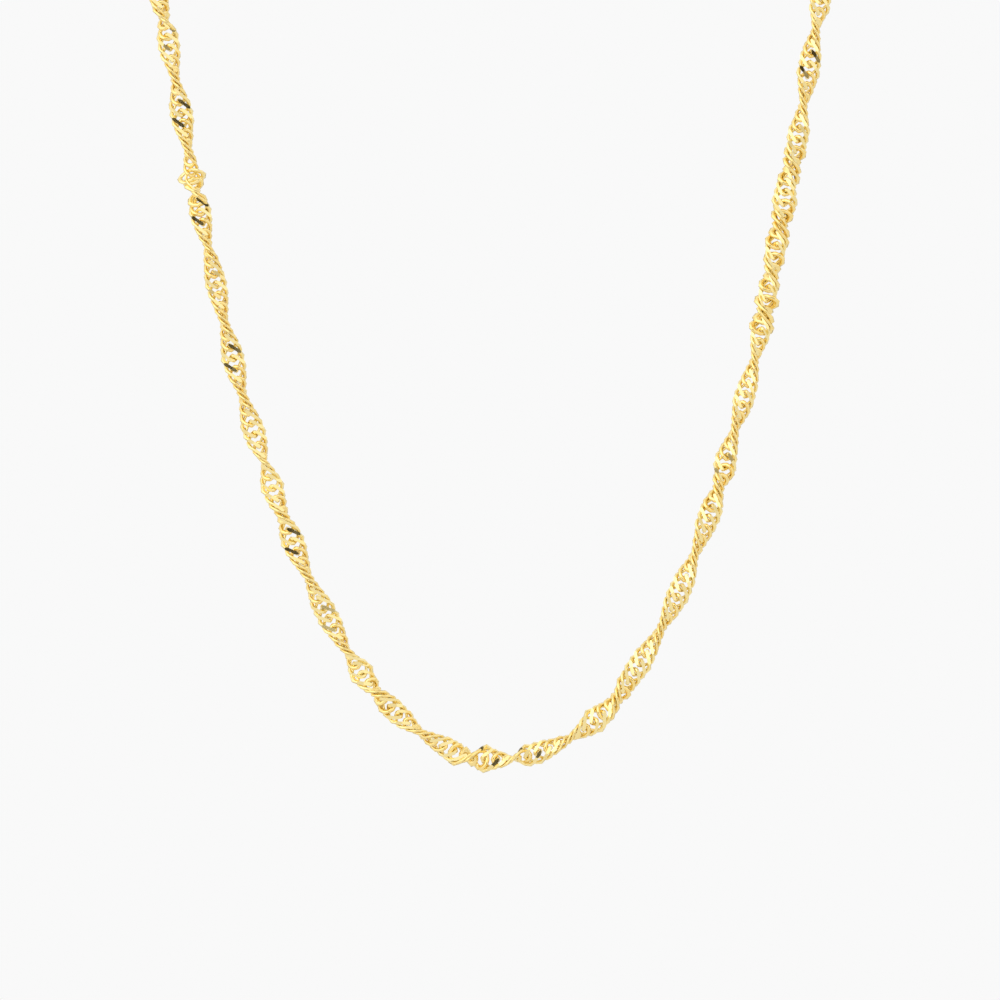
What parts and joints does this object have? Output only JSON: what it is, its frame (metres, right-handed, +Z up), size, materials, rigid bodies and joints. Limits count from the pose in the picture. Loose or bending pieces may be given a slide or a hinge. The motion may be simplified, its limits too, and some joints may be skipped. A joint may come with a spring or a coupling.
{
  "type": "singapore chain necklace",
  "caption": "Fine twisted double-curb neck chain hanging in a closed loop, fastened at the nape with a plain clasp between two jump rings.",
  "frame": {"origin": "middle of the nape stretch, on the line of the chain", "axes": "+Z up, -Y towards the front of the necklace, +X to the right as seen from the front"},
  "size_m": [0.0943, 0.0635, 0.1406],
  "materials": {
    "chain_gold": "polished and diamond-cut",
    "fitting_gold": "polished"
  },
  "bodies": {
    "root": {"chain": "chain_gold", "ring_left": "fitting_gold", "ring_right": "fitting_gold", "clasp": "fitting_gold"}
  },
  "joints": []
}
